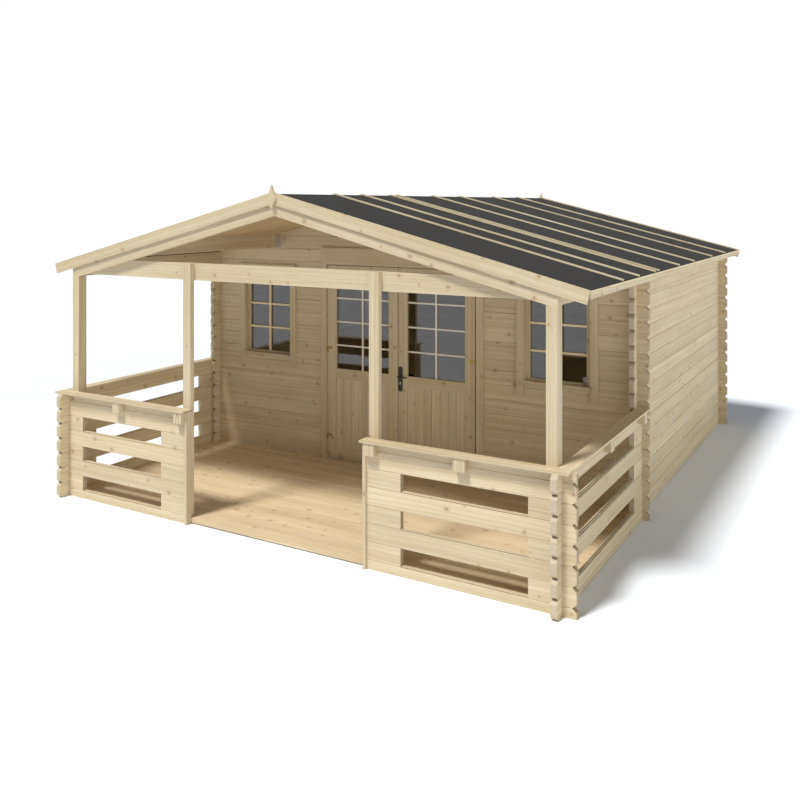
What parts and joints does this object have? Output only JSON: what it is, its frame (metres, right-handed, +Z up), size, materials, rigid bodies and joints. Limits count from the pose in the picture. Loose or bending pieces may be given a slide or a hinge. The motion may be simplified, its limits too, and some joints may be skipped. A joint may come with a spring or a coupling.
{
  "type": "log cabin garden shed with a roofed front veranda",
  "caption": "Spruce log cabin shed with interlocking log corners, glazed double door, small windows, felted gable roof with battens, and a veranda with slotted balustrades.",
  "frame": {"origin": "on the ground under the middle of the whole building's box", "axes": "+X to the right of a person who faces the front, +Y from the veranda to the back wall, +Z up"},
  "size_m": [5.18, 6.056, 2.8484],
  "materials": {
    "spruce": "planed untreated spruce with small knots",
    "roof_felt": "dark grey mineral felt",
    "glass": "clear float glass",
    "brass": "brass plated hinge",
    "black_metal": "satin black coated handle",
    "zinc_steel": "galvanised sheet steel"
  },
  "bodies": {
    "root": {"back_wall": "spruce", "balustrade_end_boards": "spruce", "cabin_floor": "spruce", "cabin_purlins": "spruce", "corner_posts": "spruce", "door_head_and_threshold": "spruce", "door_jambs": "spruce", "eave_beams": "spruce", "eave_strips": "spruce", "finials": "spruce", "floor_bearers": "spruce", "frame_hinges": "brass", "front_gable": "spruce", "front_rails": "spruce", "front_wall_window_heads": "spruce", "header_trims": "spruce", "left_bargeboards": "spruce", "left_front_balustrade": "spruce", "left_front_rafter": "spruce", "left_front_wall_lower": "spruce", "left_front_wall_piers": "spruce", "left_roof_battens": "spruce", "left_roof_boards": "spruce", "left_roof_felt": "roof_felt", "left_side_balustrade": "spruce", "left_side_wall": "spruce", "middle_posts": "spruce", "purlin_hangers": "zinc_steel", "rail_brackets": "spruce", "right_bargeboards": "spruce", "right_front_balustrade": "spruce", "right_front_rafter": "spruce", "right_front_wall_lower": "spruce", "right_front_wall_piers": "spruce", "right_roof_battens": "spruce", "right_roof_boards": "spruce", "right_roof_felt": "roof_felt", "right_side_balustrade": "spruce", "right_side_wall": "spruce", "side_rails": "spruce", "tie_beam": "spruce", "upright_trims": "spruce", "veranda_floor": "spruce", "veranda_purlins": "spruce", "window_frames": "spruce", "window_glass": "glass", "window_sills": "spruce"},
    "left_door": {"left_door_leaf": "spruce", "left_door_glass": "glass", "left_door_hinges": "brass"},
    "right_door": {"right_door_leaf": "spruce", "right_door_glass": "glass", "right_door_hinges": "brass", "handle_plates": "black_metal"},
    "handle": {"door_lever": "black_metal"}
  },
  "joints": [
    {"name": "left_door_hinge", "type": "hinge", "parent": "root", "child": "left_door", "pos_m": [-0.8485, -0.9235, 0.075], "axis": [0, 0, -1], "range_deg": [0, 110]},
    {"name": "right_door_hinge", "type": "hinge", "parent": "root", "child": "right_door", "pos_m": [0.8485, -0.9235, 0.075], "axis": [0, 0, 1], "range_deg": [0, 110]},
    {"name": "handle_turn", "type": "hinge", "parent": "right_door", "child": "handle", "pos_m": [0.0295, -0.916, 0.995], "axis": [0, 1, 0], "range_deg": [0, 40], "stiffness_Nm_per_rad": 1.5}
  ]
}
